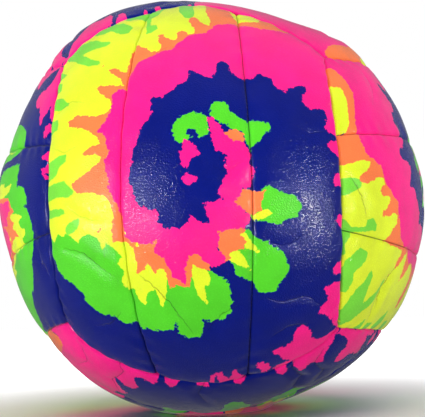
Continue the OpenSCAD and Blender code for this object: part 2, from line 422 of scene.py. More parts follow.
LEAF_SHAPES = [
    # green over the yellow: long streaks fanning from the upper left corner
    [(-47, 49), (-43, 45.6), (-38, 42.4), (-34, 39.6), (-30, 36.6), (-26.4, 34.2), (-26, 33.6), (-30, 34.6),
     (-33, 36.6), (-36.6, 39.6), (-40.6, 42.4), (-45, 46.6)],
    [(-46, 50), (-41, 47.6), (-37, 46.4), (-33, 45), (-30, 43), (-26, 41.2), (-27, 40.4), (-31, 41),
     (-35, 41), (-38.6, 42.4), (-42, 45.2)],
    [(-37, 52), (-35, 48.4), (-31, 47), (-29, 47.8), (-27, 46.4), (-24, 44.4), (-21.4, 44.2), (-21, 46.4),
     (-24, 48.6), (-27, 50.2), (-30, 50.8), (-32, 55)],
    [(-29, 58), (-28, 53.2), (-25, 51.2), (-22, 51.6), (-19, 50.2), (-16, 50), (-14, 51.6), (-14, 58)],
    # beside the left side, from top to bottom
    [(-46, 43), (-41.6, 38.6), (-38, 35.6), (-40.8, 35.8), (-45, 39.6)],
    [(-41.6, 35), (-38.4, 32.8), (-38, 30.4), (-41, 31.4)],
    [(-38.8, 28.4), (-35.6, 26.4), (-32.4, 23.4), (-36, 23.4), (-38.6, 25)],
    [(-38, 20.6), (-35.4, 20), (-34.8, 17), (-37.8, 16.6)],
    [(-40, 7.2), (-36, 7.2), (-32.6, 8.4), (-30.4, 8), (-30.2, 6.4), (-32.4, 5.4), (-33.4, 3.2), (-35.6, 2),
     (-40, 2)],
    [(-40, -0.6), (-34, 0.4), (-30.6, 0.6), (-27.4, -2.6), (-29.6, -3.4), (-34, -3.2), (-36.4, -4.2),
     (-40, -4.6)],
    [(-40, -7.8), (-35, -7), (-31.8, -7), (-30.2, -7.8), (-33.4, -8.6), (-35.6, -9.2), (-40, -9.4)],
    [(-31, -12.6), (-29.4, -10.8), (-26.6, -9.6), (-27, -11.6), (-28.8, -13), (-30.6, -13.8)],
    # at the head of the group
    [(-7, 58), (-5.4, 53), (-3.4, 49.6), (-1.4, 47.6), (0.4, 47.4), (1.2, 49.4), (0.4, 53), (-0.6, 58)],
    [(-17.8, 51), (-15.6, 46.4), (-14, 42), (-12.2, 42.2), (-11, 43.4), (-12, 45), (-14.4, 45.6),
     (-15.8, 49.4)],
]
ORANGE_SHAPES = [
    # the head of the pink band
    [(-16.4, 38.4), (-14.4, 36.2), (-12, 35.6), (-10.6, 33.6), (-8.4, 33.4), (-7.6, 35.2), (-9.8, 40.2),
     (-8.4, 40), (-6, 37.6), (-3.6, 36.6), (-2.8, 38), (-3.4, 39.6), (-2, 41), (-0.8, 40.4), (0, 38.8),
     (2, 39.4), (2.4, 41.6), (-0.2, 45.4), (0, 47.6), (2.4, 47.4), (3.8, 45.4), (5.6, 43.6), (7.4, 43.2),
     (7.6, 46.4), (5.8, 52), (6, 62), (16.4, 62), (16.6, 49.8), (18.2, 48.8), (24, 49.4), (26.6, 51.2),
     (28.4, 54), (30, 62), (34, 56), (36.4, 53.4), (36.8, 50), (38.6, 46), (34, 44), (20, 42), (4, 34),
     (-14, 26), (-16.4, 28)],
    # fringe down its left, a tongue at a time
    [(-22.6, 30.8), (-19.6, 30), (-15, 27.6), (-14.6, 26), (-14.8, 23), (-16, 24.4), (-18.6, 27.4),
     (-20.6, 29)],
    [(-24.4, 25.8), (-20, 25), (-15.4, 24), (-16, 15), (-15.4, 8), (-15, 0), (-14, -9), (-11, -16),
     (-14.2, -14.6), (-17.6, -14.8), (-17.4, -11), (-16.8, -8), (-17.4, -5.6), (-19, -3.6), (-22, -2.8),
     (-26.4, -3), (-28, -0.6), (-27, 0.8), (-23, 2.6), (-20.4, 4.4), (-19.8, 6), (-21.4, 7), (-24.4, 6.8),
     (-25.8, 7.2), (-23.4, 8.6), (-20.6, 9.4), (-20.6, 10.6), (-23.4, 13), (-27, 14.8), (-29.8, 16),
     (-31, 17.6), (-28.4, 18.6), (-24.6, 17.2), (-20, 16.8), (-18.6, 18.6), (-19.4, 20.8), (-22, 23)],
    # under its foot
    [(-14.6, -12), (-14.2, -15), (-12.6, -16.8), (-12.2, -19), (-12.8, -22.4), (-10.8, -21), (-9.4, -19.4),
     (-8, -21.6), (-6.6, -20.4), (-5.6, -20), (-5, -22.4), (-5, -25), (-2.8, -24.2), (0.2, -24.4),
     (0.8, -21.4), (1.2, -19.2), (2.8, -20), (5, -20.6), (5.6, -18.6), (4, -14), (-4, -13)],
    [(6.8, -10), (7, -15.4), (8.2, -18.6), (9.8, -18.6), (9.4, -16.8), (12.8, -16.2), (13.4, -14.8),
     (12, -12.6), (13.4, -12.2), (12.4, -10)],
    [(8.6, -5.6), (11.6, -4.6), (12.8, -2.8), (15, -3.4), (18, -3.2), (16.8, -5.6), (17, -7.6), (15.4, -8.8),
     (13.4, -8), (11, -7)],
    [(8.8, 10), (11, 10.6), (13.4, 10.2), (14, 8.4), (12, 6), (9, 7)],
    # specks
    [(-20.8, -11.4), (-19.6, -12.4), (-21.4, -12.8)],
    [(-25.2, 33), (-23.8, 32), (-24.6, 32)],
]
PINK_SHAPES = [
    # the band, from the head of the group round the core, and in along its arm
    [(52, 62), (36.8, 62), (37, 51), (34, 47.8), (28, 46.6), (25, 45.6), (20, 46.6), (16, 46), (12.6, 45),
     (9.4, 44.4), (7.4, 41.8), (5.6, 39.6), (3, 39.2), (0, 38), (-3, 35.4), (-4, 33), (-6.6, 33.6),
     (-10, 32), (-13.4, 30.2), (-14.8, 28.4), (-15.4, 23.2), (-17.2, 23.4), (-18.8, 22), (-18.4, 19.4),
     (-18.8, 16.8), (-20, 13.6), (-21.6, 12.8), (-19, 11), (-18.2, 9), (-17.8, 7), (-18.6, 5), (-18.8, 3),
     (-17.8, 1), (-17.8, -1.6), (-16.4, -4.6), (-15, -7), (-14.8, -10), (-14.4, -13.4), (-11.8, -14.8),
     (-8.4, -14.8), (-6.6, -13.8), (-7.2, -16.2), (-5.4, -18.6), (-4, -20.6), (-3, -22.4), (-0.8, -23.6),
     (-0.6, -20), (0.4, -17.4), (1.6, -16.4), (3.6, -17.6), (5.6, -20), (8.6, -18.8), (8, -17.4), (7, -15.6),
     (7, -12), (11.4, -11.4), (13.6, -11.6), (14.6, -9.2), (12.4, -7.2), (9.8, -5.6), (11.8, -4.4),
     (12.6, -2.8), (14.6, -2.4), (15.2, 0.6), (16.6, 2.2), (14.8, 2.2), (14.8, 4.6), (13.8, 8), (10, 8.4),
     (9.2, 10), (7.6, 12), (6.2, 13.6), (5.6, 12.6), (6, 10.6), (8, 9), (6.2, 8.6), (7, 7), (7.4, 5.6),
     (9.6, 4.6), (9.6, 3), (8.8, 2.6), (9.8, 1.4), (9.2, -0.6), (7.4, -3), (8.6, -5), (6, -6), (4, -6.4),
     (5.2, -8), (5.4, -10.2), (3, -10), (1.4, -9), (0.2, -10.6), (-1.4, -12), (-3, -11.4), (-5, -11.6),
     (-6, -10), (-6.2, -7.6), (-8, -7), (-10, -6.6), (-11.4, -4.8), (-12, -2.4), (-13, -0.6), (-12.8, 1.6),
     (-12, 3.6), (-12.2, 5.6), (-11, 8), (-10.6, 11), (-9, 13.4), (-7.6, 15), (-8, 17.2), (-8.4, 19),
     (-5, 19.4), (-2.4, 21.4), (-0.2, 23), (1, 23.6), (1, 26.4), (3.6, 25.4), (6.6, 24.2), (7.8, 25.4),
     (8, 27.8), (8.8, 29.4), (10.2, 29.8), (11.6, 29), (12, 26.6), (14.8, 24.8), (17.4, 25.6), (20, 27.4),
     (22.8, 25.8), (23.4, 23.4), (25.2, 23), (28, 25), (30.4, 26.8), (32, 26.2), (30.6, 23.6), (29.4, 20),
     (31.6, 19.6), (34.4, 20.6), (35.8, 19.8), (35.6, 17.6), (34.2, 14.4), (36.6, 14), (38, 12.6), (52, 12)],
    # in the core
    [(0.2, 8.2), (1.6, 7.8), (2.4, 6.2), (3.8, 5), (1.8, 3.8), (0.6, 2), (-0.6, 2.4), (0, 3.6), (-1, 4.8),
     (0, 6.2)],
    [(-0.2, 0), (0.8, 0.9), (2.6, -0.6), (1.2, -2), (0.2, -1.2)],
    # down the right side
    [(34.2, 9.6), (35.6, 11.4), (39, 12), (39, 6.6), (36.4, 6.8), (35, 8)],
    [(34.6, 0), (35.6, 1.6), (38, 2.4), (38, -2), (35.2, -1.4)],
    [(35.2, -10.4), (36, -9.6), (38, -9.6), (38, -13), (35.8, -12.2)],
    [(36, -23.6), (38.4, -22.4), (41, -22), (43, -27.6), (40, -26.4), (37.6, -25.4), (36.4, -25.2)],
    [(34.6, -28.8), (37, -28.2), (41, -28.8), (45, -32), (49, -38), (49, -48), (45.4, -47), (43.4, -43.4),
     (41, -40.4), (39.4, -38.2), (37.6, -37.2), (36, -36), (34.4, -35.4), (35.4, -33.4), (36.8, -31.8),
     (35.6, -30.4)],
    # the star at the lower right, and a splash on each side of it
    [(24, -43.4), (27, -43.2), (29.4, -42.2), (28.8, -40), (29.4, -38.6), (31, -38.2), (32.8, -38.8),
     (34.2, -41), (35.4, -43), (39, -45), (41.4, -44.8), (43.4, -43.6), (46, -50), (42.6, -51.6),
     (40.6, -48.4), (39, -47.6), (38.8, -50), (40.8, -54), (37, -54), (33.8, -51.4), (32, -50), (33, -53.4),
     (31, -56), (28.4, -53), (26, -50.6), (28.6, -49.8), (31.6, -49.4), (29, -47.8), (26.6, -45.8),
     (25, -44.8)],
    [(19.8, -47.8), (21.4, -47.2), (23.4, -48.2), (25.4, -50.2), (23, -51.6), (21.8, -50), (20.4, -49.2)],
    [(5.6, -49.4), (7.8, -49), (8.4, -50.6), (10.6, -52), (11.8, -51), (11.6, -49.2), (12.8, -48.6),
     (13.4, -50.4), (15.6, -51.6), (18, -58), (7.6, -58), (6.8, -52)],
    [(3.4, -50), (4.8, -49.8), (5, -58), (3, -58)],
]
PRINT = [
    ("green", GREEN_SHAPES),
    ("yellow", YELLOW_SHAPES),
    ("leaf", LEAF_SHAPES),
    ("orange", ORANGE_SHAPES),
    ("pink", PINK_SHAPES),
]


# the most that a distance to an outline has to say, in degrees
FAR_OFF = 3.0
# on four groups the print lies a little off: centre of a pull, degrees across and along, reach
PRINT_PULLS = {
    "top": [((30, 8), (0, 34), 16), ((30, -30), (7, -4), 14), ((31, -11), (5, 5), 4),
            ((40, 46), (-9, 5), 10)],
    "left": [((-12, -33), (0, 15), 17), ((18, -36), (0, 14), 9)],
    "right": [((34, 48), (-7, 4), 12)],
    "bottom": [((35, 47), (0, 5), 10)],
}


def signed_distance(at, outlines):
    """Distance to the nearest of the outlines, positive inside them, and at most FAR_OFF."""
    shape = at.shape[:-1]
    at = at.reshape(-1, 2)
    inside = np.zeros(len(at), bool)
    nearest = np.full(len(at), FAR_OFF)
    for outline in outlines:
        points = np.asarray(outline, float)
        box = (at > points.min(0) - FAR_OFF) & (at < points.max(0) + FAR_OFF)
        here = np.nonzero(box.all(-1))[0]
        near = at[here]
        x, y = near[:, 0], near[:, 1]
        odd = np.zeros(len(here), bool)
        for a, b in zip(points, np.roll(points, -1, axis=0)):
            way = b - a
            t = np.clip(((near - a) @ way) / (way @ way), 0, 1)
            far = np.linalg.norm(near - a - t[:, None] * way, axis=-1)
            nearest[here] = np.minimum(nearest[here], far)
            if a[1] != b[1]:
                spans = (a[1] > y) != (b[1] > y)
                odd ^= spans & (x < a[0] + (y - a[1]) * way[0] / way[1])
        inside[here] |= odd
    return (np.where(inside, nearest, -nearest) * MM_PER_DEGREE).reshape(shape)


def print_degrees(group, p, q):
    """Where the print lies on a group: it was put on after the seams at its ends were pulled."""
    v = pulled(direction(group, p, q), SEAM_PULLS)
    out, along, across = (v @ np.array(way, float) for way in group[1:4])
    at = np.degrees(np.arctan2(np.stack([across, along], -1), out[..., None]))
    shift = np.zeros_like(at)
    for centre, pull, reach in PRINT_PULLS.get(group[0], []):
        weight = np.exp(-(((at - centre) / reach) ** 2).sum(-1))
        shift = shift + weight[..., None] * np.array(pull)
    return at + shift


# ---------------------------------------------------------------- meshes
def in_scene(name, data):
    thing = bpy.data.objects.new(name, data)
    bpy.context.scene.collection.objects.link(thing)
    return thing


def new_mesh(name, points_mm, faces, face_out=True):
    mesh = bpy.data.meshes.new(name)
    points = (np.asarray(points_mm) + CENTRE) * MM
    mesh.from_pydata(points.tolist(), [], faces)
    if face_out:
        work = bmesh.new()
        work.from_mesh(mesh)
        bmesh.ops.recalc_face_normals(work, faces=work.faces)
        work.to_mesh(mesh)
        work.free()
    mesh.update()
    mesh.shade_smooth()
    return in_scene(name, mesh)


def add_attribute(mesh, name, values, kind="FLOAT"):
    attribute = mesh.attributes.new(name, kind, "POINT")
    field = "vector" if kind == "FLOAT_VECTOR" else "value"
    attribute.data.foreach_set(field, np.asarray(values, np.float32).ravel())


def grid_faces(rows, columns, start, flip):
    at = start + np.arange(rows * columns).reshape(rows, columns)
    quads = np.stack([at[:-1, :-1], at[1:, :-1], at[1:, 1:], at[:-1, 1:]], -1).reshape(-1, 4)
    return (quads[:, ::-1] if flip else quads).tolist()


def border(rows, columns):
    at = np.arange(rows * columns).reshape(rows, columns)
    sides = [at[0, :-1], at[:-1, -1], at[-1, :0:-1], at[:0:-1, 0]]
    return np.concatenate(sides)


def band_faces(low, high):
    """Faces between two closed rings, where high may have one point for several of low's."""
    per = len(low) // len(high)
    faces = []
    for i in range(len(high)):
        ring = [low[(i * per + j) % len(low)] for j in range(per + 1)]
        faces.append(ring + [high[(i + 1) % len(high)], high[i]])
    return faces


def broad_fall(grid):
    return BROAD_CROWN * ((2 * grid["across"] - 1) ** 2 + grid["along"] ** 6) / 2


def outer_depth(group, grid, creases):
    """Depth of a strip's outer face below the ball's surface, all its relief included."""
    ex, ey = grid["ex"], grid["ey"]
    reach = SHOULDER_W
    near = np.hypot(np.maximum(0, reach - ex), np.maximum(0, reach - ey)) / reach
    shoulder = SHOULDER_H * (1 - np.sqrt(1 - np.minimum(1, near) ** 2))
    soft = EDGE_CROWN * (np.exp(-ex / EDGE_SOFT) + np.exp(-ey / EDGE_SOFT))
    v = direction(group, grid["p"], grid["q"])
    at = v * BALL_R
    near_side = bell(ex, PUCKER_REACH)
    near_end = bell(ey, PUCKER_REACH)
    wander = 2 * uneven(at, WANDER)
    beat = 2 * math.pi / STITCH_PITCH
    pucker = PUCKER_DEPTH * (near_side * np.cos(grid["run_mm"] * beat + wander)
                             + near_end * np.cos(grid["across_mm"] * beat + wander))
    pucker = pucker + np.maximum(near_side, near_end) * uneven(at, EDGE_LUMPS)
    lumps = uneven(at, SMALL_LUMPS) + uneven(at, BROAD_LUMPS)
    at_mm = np.degrees(np.arctan(np.stack([grid["p"], grid["q"]], -1))) * MM_PER_DEGREE
    folds, line, strength = crease_fall(at_mm, creases)
    folds = folds * smooth(np.minimum(ex, ey) / FOLD_CLEAR)
    depth = shoulder + soft + broad_fall(grid) + pucker + lumps + folds - SWELL
    return v, depth, {"crease_line": line, "crease_strength": strength}


def panel(group, k, fields, rng):
    grid, inner = fields["grid"], fields["inner"]
    creases = [c for c in HAND_CREASES.get(group[0], []) if c[0] == k] or seeded_creases(k, rng)
    v, depth, crease = outer_depth(group, grid, creases)
    rows, columns = depth.shape
    edge = border(rows, columns)
    edge_v = v.reshape(-1, 3)[edge]
    edge_depth = depth.ravel()[edge]
    rings = [place(edge_v, mix(edge_depth, TURN_IN, step), TURN_IN * step) for step in FLANGE_STEPS]

    inner_v = direction(group, inner["p"], inner["q"])
    inner_depth = broad_fall(inner) + EDGE_CROWN / 2 + LEATHER_T
    inner_rows, inner_columns = inner_depth.shape
    inner_edge = border(inner_rows, inner_columns)
    inner_rim = place(inner_v.reshape(-1, 3)[inner_edge], np.full(len(inner_edge), TURN_IN), TURN_IN)

    parts = [place(v, depth).reshape(-1, 3), *rings, inner_rim,
             place(inner_v, inner_depth, LEATHER_T).reshape(-1, 3)]
    starts = np.concatenate([[0], np.cumsum([len(x) for x in parts])])
    low = edge
    faces = grid_faces(rows, columns, 0, False)
    for i in range(len(rings)):
        ring = starts[1 + i] + np.arange(len(edge))
        faces += [f[::-1] for f in band_faces(list(ring), list(low))]
        low = ring
    outside = len(faces)
    rim = starts[1 + len(rings)] + np.arange(len(inner_edge))
    faces += band_faces(list(low), list(rim))
    faces += band_faces(list(rim), list(starts[-2] + inner_edge))
    faces += grid_faces(inner_rows, inner_columns, starts[-2], True)
    faces = [[int(i) for i in f] for f in faces]

    piece = new_mesh(f"{group[0]}_{group[4][k]}_cover", np.concatenate(parts), faces)
    layers = {"print_" + layer: values for layer, values in fields["print"].items()}
    for name, values in {**layers, **crease}.items():
        flat = np.concatenate([values.ravel(), np.tile(values.ravel()[edge], len(rings)),
                               np.zeros(len(inner_rim) + inner_depth.size)])
        add_attribute(piece.data, name, flat)
    print_at = fields["at"].reshape(-1, 2)
    flat = np.concatenate([print_at, np.tile(print_at[edge], (len(rings), 1)),
                           np.zeros((len(inner_rim) + inner_depth.size, 2))])
    add_attribute(piece.data, "print_at", np.c_[flat, np.zeros(len(flat))], "FLOAT_VECTOR")
    slots = np.zeros(len(piece.data.polygons), np.int32)
    slots[outside:] = 1
    piece.data.polygons.foreach_set("material_index", slots)
    return piece


def strip_fields(group, k):
    """Strip k's mesh lines, and where the print lies on them."""
    grid = strip_grid(k, 0.0)
    inner_grid = strip_grid(k, LEATHER_T)
    inner = {key: value[::INNER_STEP, ::INNER_STEP] for key, value in inner_grid.items()}
    degrees = print_degrees(group, grid["p"], grid["q"])
    layers = {layer: signed_distance(degrees, outlines) for layer, outlines in PRINT}
    return {"grid": grid, "inner": inner, "at": degrees * MM_PER_DEGREE, "print": layers}


def tube(path, radius, sides=8):
    """Points and faces of a closed round tube along a path."""
    path = np.asarray(path, float)
    way = unit(np.gradient(path, axis=0))
    side = unit(np.cross(way, unit(path)))
    up = np.cross(side, way)
    turn = np.arange(sides) * 2 * math.pi / sides
    ring = np.cos(turn)[None, :, None] * side[:, None] + np.sin(turn)[None, :, None] * up[:, None]
    points = (path[:, None] + radius * ring).reshape(-1, 3)
    count = len(path)
    points = np.concatenate([points, path[:1], path[-1:]])
    faces = []
    for i in range(count - 1):
        for j in range(sides):
            a, b = i * sides + j, i * sides + (j + 1) % sides
            faces.append([a, b, b + sides, a + sides])
    for j in range(sides):
        faces.append([(j + 1) % sides, j, count * sides])
        last = (count - 1) * sides
        faces.append([last + j, last + (j + 1) % sides, count * sides + 1])
    return points, faces


def rounded(path, times=2):
    """A path with its corners cut, a number of times over."""
    path = np.asarray(path, float)
    for _ in range(times):
        near = mix(path[:-1], path[1:], 0.25)
        far = mix(path[:-1], path[1:], 0.75)
        between = np.stack([near, far], 1).reshape(-1, 3)
        path = np.concatenate([path[:1], between, path[-1:]])
    return path


# ---------------------------------------------------------------- thread
THREAD_D = 0.3
SEAM_END = 1.6
CLOSING_L = 26.0
CLOSING_PITCH = 2.2
THREAD_DEPTH = 2.2
CLOSING_SEAM = ("back", 1)
# points in one stitch, and how square its wave is
STITCH_POINTS = 10
STITCH_SQUARE = 1.8
# a bar of the hand-sewn thread: how far it reaches from the groove's middle, and its depths
# at its start, its middle and its end
BAR_REACH = 0.9
BAR_DEPTHS = [1.25, 0.62, 1.25]


def seam_span(edge):
    """How high on the cube's side a seam ends, and its angle from the middle to there."""
    top = 1.0
    if edge % 3:
        for _ in range(ROUNDS):
            top = end_at(edge_at(2, top))
    q = np.array([0, top])
    middle, end = direction(GROUPS[0], edge_at(edge, q), q)
    return top, math.acos(middle @ end)


def seam_points(group, edge, run, sideways, depth):
    """Points at a distance run along a seam from its middle, beside it, and below the surface."""
    top, angle = seam_span(edge)

    def ways(at):
        q = top * np.tan(at / BALL_R) / math.tan(angle)
        return direction(group, edge_at(edge, q), q)

    v = ways(run)
    beside = unit(np.cross(ways(run + 0.1) - v, v))
    return place(unit(v + beside * (sideways / BALL_R)[..., None]), depth, depth)


def seam_half_l(edge):
    return BALL_R * seam_span(edge)[1]


def running_stitch(group, edge, start, end):
    """The machine's thread: it weaves from side to side through both turned-in edges."""
    stitches = max(1, round((end - start) / STITCH_PITCH))
    run = np.linspace(start, end, stitches * STITCH_POINTS + 1)
    turn = np.sin((run - start) / (end - start) * stitches * math.pi)
    sideways = (LEATHER_T + THREAD_D) * np.clip(STITCH_SQUARE * turn, -1, 1)
    path = seam_points(group, edge, run, sideways, np.full_like(run, THREAD_DEPTH))
    return tube(path, THREAD_D / 2)


def ladder_stitch(group, edge):
    """The hand-sewn thread: bars across the groove, each a step further along it."""
    bars = int(CLOSING_L / CLOSING_PITCH)
    run, sideways, depth = [], [], []
    for i in range(bars + 1):
        side = 1 if i % 2 else -1
        run += [(i - bars / 2) * CLOSING_PITCH] * 3
        sideways += [-BAR_REACH * side, 0.0, BAR_REACH * side]
        depth += BAR_DEPTHS
    path = seam_points(group, edge, *(np.array(x, float) for x in (run, sideways, depth)))
    return tube(rounded(path), THREAD_D / 2)


def joined(tubes):
    points, faces, start = [], [], 0
    for tube_points, tube_faces in tubes:
        points.append(tube_points)
        faces += [[int(i) + start for i in face] for face in tube_faces]
        start += len(tube_points)
    return np.concatenate(points), faces


def seam_thread(group, edge):
    reach = seam_half_l(edge) - SEAM_END
    if (group[0], edge) == CLOSING_SEAM:
        tubes = [running_stitch(group, edge, -reach, -CLOSING_L / 2),
                 running_stitch(group, edge, CLOSING_L / 2, reach)]
    else:
        tubes = [running_stitch(group, edge, -reach, reach)]
    half = 0 if edge < 2 else 2
    node = f"{group[0]}_{group[4][half]}_{'side' if edge % 3 == 0 else 'seam'}_thread"
    return node, new_mesh(node + "_sewn", *joined(tubes))


# ---------------------------------------------------------------- bag and seed
GORES = 6
SEED_R = 1.1
SEED_COUNT = 2500
# how far the seeds stray from an even spacing, how deep they lie under the bag, and the lowest
# that their tops fall between them
SEED_STRAY = 0.006
SEED_SINK = 1.2
SEED_GAP = 0.2
BAG_CUTS = 6
SEED_CUTS = 7
# the bag: how deep and wide its seams draw in, its gathers beside them, and its lumps
SEAM_DRAW = (0.5, 1.1)
GATHERS = (0.12, 3)
GATHER_BEAT = 90
BAG_FALL = 0.22
BAG_LUMPS = (0.2, 5, 9.3)


def round_mesh(cuts):
    work = bmesh.new()
    bmesh.ops.create_icosphere(work, subdivisions=cuts, radius=1)
    points = np.array([v.co for v in work.verts])
    faces = [[v.index for v in f.verts] for f in work.faces]
    work.free()
    return unit(points), faces


def cotton_bag(v, faces):
    """A bag of gores: drawn in along its seams, and pushed out in between by the seed."""
    turn = np.arctan2(v[:, 1], v[:, 0]) * GORES / 2
    from_seam = np.abs(np.sin(turn)) * np.hypot(v[:, 0], v[:, 1]) * BALL_R * 2 / GORES
    drawn = SEAM_DRAW[0] * bell(from_seam, SEAM_DRAW[1])
    fall = drawn + BAG_FALL + uneven(v * BALL_R, BAG_LUMPS)
    gathers = GATHERS[0] * bell(from_seam, GATHERS[1]) * np.sin(v[:, 2] * GATHER_BEAT)
    outer = v * (BAG_R - np.clip(fall + gathers, 0, 1))[:, None]
    inner = outer * (1 - BAG_T / BAG_R)
    inside = [[i + len(v) for i in reversed(face)] for face in faces]
    return new_mesh("cotton_bag", np.concatenate([outer, inner]), faces + inside, face_out=False)


def millet(v, faces, rng):
    """The seed: round grains packed against the inside of the bag."""
    i = np.arange(SEED_COUNT) + 0.5
    height = 1 - 2 * i / SEED_COUNT
    turn = i * math.pi * (1 + math.sqrt(5))
    ring = np.sqrt(1 - height ** 2)
    seeds = np.stack([ring * np.cos(turn), ring * np.sin(turn), height], -1)
    seeds = unit(seeds + rng.normal(0, SEED_STRAY, seeds.shape))
    tree = KDTree(SEED_COUNT)
    for index, seed in enumerate(seeds):
        tree.insert(Vector(seed), index)
    tree.balance()
    found = [tree.find(Vector(p)) for p in v]
    far = np.array([f[2] for f in found]) * FILL_R
    tone = rng.uniform(0, 1, SEED_COUNT)[[f[1] for f in found]]
    dome = np.sqrt(np.maximum(SEED_GAP ** 2, SEED_R ** 2 - far ** 2))
    piece = new_mesh("millet_fill", v * (FILL_R - SEED_SINK - SEED_R + dome)[:, None], faces)
    add_attribute(piece.data, "seed_tone", tone)
    return piece


# ---------------------------------------------------------------- materials
def linear(red, green, blue):
    """A colour from 0 to 255 as a paint maker gives it, as the shader wants it."""
    parts = [c / 255 for c in (red, green, blue)]
    return tuple(c / 12.92 if c <= 0.04045 else ((c + 0.055) / 1.055) ** 2.4 for c in parts) + (1,)


PINK = linear(255, 26, 138)
YELLOW = linear(226, 244, 46)
GREEN = linear(84, 210, 40)
LEAF = linear(122, 222, 62)
ORANGE = linear(252, 126, 70)
NAVY = linear(0, 18, 118)
# each layer's ink, how ragged its edge is, and how far it has crept in millimetres
LAYERS = [
    ("green", GREEN, 0.8, 0.05),
    ("yellow", YELLOW, 0.5, 0.05),
    ("leaf", LEAF, 0.35, 0.15),
    ("orange", ORANGE, 0.6, 0.05),
    ("pink", PINK, 0.85, 0.1),
]
# the grain's relief in millimetres, how far a fold's line sinks in grains, and how far painted shade darkens
# it
GRAIN_RELIEF = 0.024
CREASE_SINK = 3.2
CREASE_PAINTED_SHADE = 0.55


class Shader:
    """A material with a Principled shader, and short ways to add nodes to it."""

    def __init__(self, name, **fixed):
        self.material = bpy.data.materials.new(name)
        self.material.use_nodes = True
        self.tree = self.material.node_tree
        self.principled = self.tree.nodes["Principled BSDF"]
        for socket, value in fixed.items():
            self.principled.inputs[socket.replace("_", " ")].default_value = value

    def add(self, kind, inputs, output=0, **settings):
        node = self.tree.nodes.new(kind)
        for name, value in settings.items():
            setattr(node, name, value)
        for name, value in inputs.items():
            if isinstance(value, bpy.types.NodeSocket):
                self.tree.links.new(value, node.inputs[name])
            else:
                node.inputs[name].default_value = value
        return node.outputs[output]

    def sum(self, a, b, operation="ADD"):
        return self.add("ShaderNodeMath", {0: a, 1: b}, operation=operation)

    def ramp(self, value, low, high, to_low=0.0, to_high=1.0):
        inputs = {"Value": value, "From Min": low, "From Max": high}
        inputs.update({"To Min": to_low, "To Max": to_high})
        return self.add("ShaderNodeMapRange", inputs, interpolation_type="SMOOTHSTEP")

    def noise(self, at, size, detail=2.0):
        return self.add("ShaderNodeTexNoise", {"Vector": at, "Scale": 1 / size, "Detail": detail})

    def blend(self, share, a, b, kind="MIX"):
        settings = {"data_type": "RGBA", "blend_type": kind}
        return self.add("ShaderNodeMix", {0: share, 6: a, 7: b}, output=2, **settings)

    def attribute(self, name, output="Fac"):
        return self.add("ShaderNodeAttribute", {}, output=output, attribute_name=name)

    def grey(self, level):
        return self.add("ShaderNodeCombineColor", {0: level, 1: level, 2: level})

    def darken(self, colour, shade):
        return self.blend(1.0, colour, self.grey(shade), "MULTIPLY")

    def place_mm(self):
        """Where a point is on the ball, in millimetres."""
        at = self.add("ShaderNodeTexCoord", {}, output="Object")
        return self.add("ShaderNodeVectorMath", {0: at, "Scale": 1 / MM}, operation="SCALE")

    def finish(self, colour, roughness, height, relief_mm):
        self.tree.links.new(colour, self.principled.inputs["Base Color"])
        self.tree.links.new(roughness, self.principled.inputs["Roughness"])
        normal = self.add("ShaderNodeBump", {"Height": height, "Distance": relief_mm * MM, "Strength": 1.0})
        self.tree.links.new(normal, self.principled.inputs["Normal"])
        return self.material


def leather(name):
    """Soft pebbled leatherette with the tie-dye print."""
    s = Shader(name, Specular_IOR_Level=0.3, Sheen_Weight=0.14, Sheen_Roughness=0.4)
    at = s.place_mm()
    on_print = s.attribute("print_at", "Vector")
    wide = s.ramp(s.noise(on_print, 1.3), 0.2, 0.8, -0.34, 0.34)
    fine = s.ramp(s.noise(on_print, 0.42), 0.2, 0.8, -0.2, 0.2)
    ragged = s.sum(wide, fine)
    colour = NAVY
    # each layer of ink ends where the distance to its outline, made ragged by noise, is nothing
    for layer, ink, raggedness, creep in LAYERS:
        far = s.attribute("print_" + layer)
        edge = s.sum(far, s.sum(ragged, raggedness, "MULTIPLY"))
        colour = s.blend(s.ramp(edge, -0.06 - creep, 0.06 - creep), colour, ink)
    # the grain: small pebbles, with painted shade a little darker in the hollows between them, rubbed
    # smoother in places
    cells = s.add("ShaderNodeTexVoronoi", {"Vector": at, "Scale": 2.9}, feature="DISTANCE_TO_EDGE")
    pebble = s.ramp(cells, 0.0, 0.4)
    tone = s.ramp(s.noise(at, 4.5, 4), 0.25, 0.75, 0.9, 1.04)
    shade = s.sum(tone, s.ramp(pebble, 0, 1, 0.93, 1.0), "MULTIPLY")
    # random tone, and painted shade in the grain's hollows
    colour = s.darken(colour, shade)
    rub = s.ramp(s.noise(at, 2.2, 3), 0.3, 0.7, 0.12, 0.2)
    height = s.sum(pebble, s.ramp(s.noise(at, 0.12), 0.2, 0.8, -0.25, 0.25))
    # the folds' sharp lines, sunk in, and darkened with painted shade
    off_line = s.attribute("crease_line")
    wander = s.ramp(s.noise(at, 0.9), 0.2, 0.8, -0.16, 0.16)
    off_line = s.sum(s.sum(off_line, wander), 0.0, "ABSOLUTE")
    strength = s.attribute("crease_strength")
    crease = s.sum(s.ramp(off_line, 0.0, 0.17, 1.0, 0.0), strength, "MULTIPLY")
    height = s.sum(height, s.sum(crease, CREASE_SINK, "MULTIPLY"), "SUBTRACT")
    # painted shade along the folds' lines
    colour = s.darken(colour, s.ramp(crease, 0.0, 1.0, 1.0, CREASE_PAINTED_SHADE))
    return s.finish(colour, rub, height, GRAIN_RELIEF)


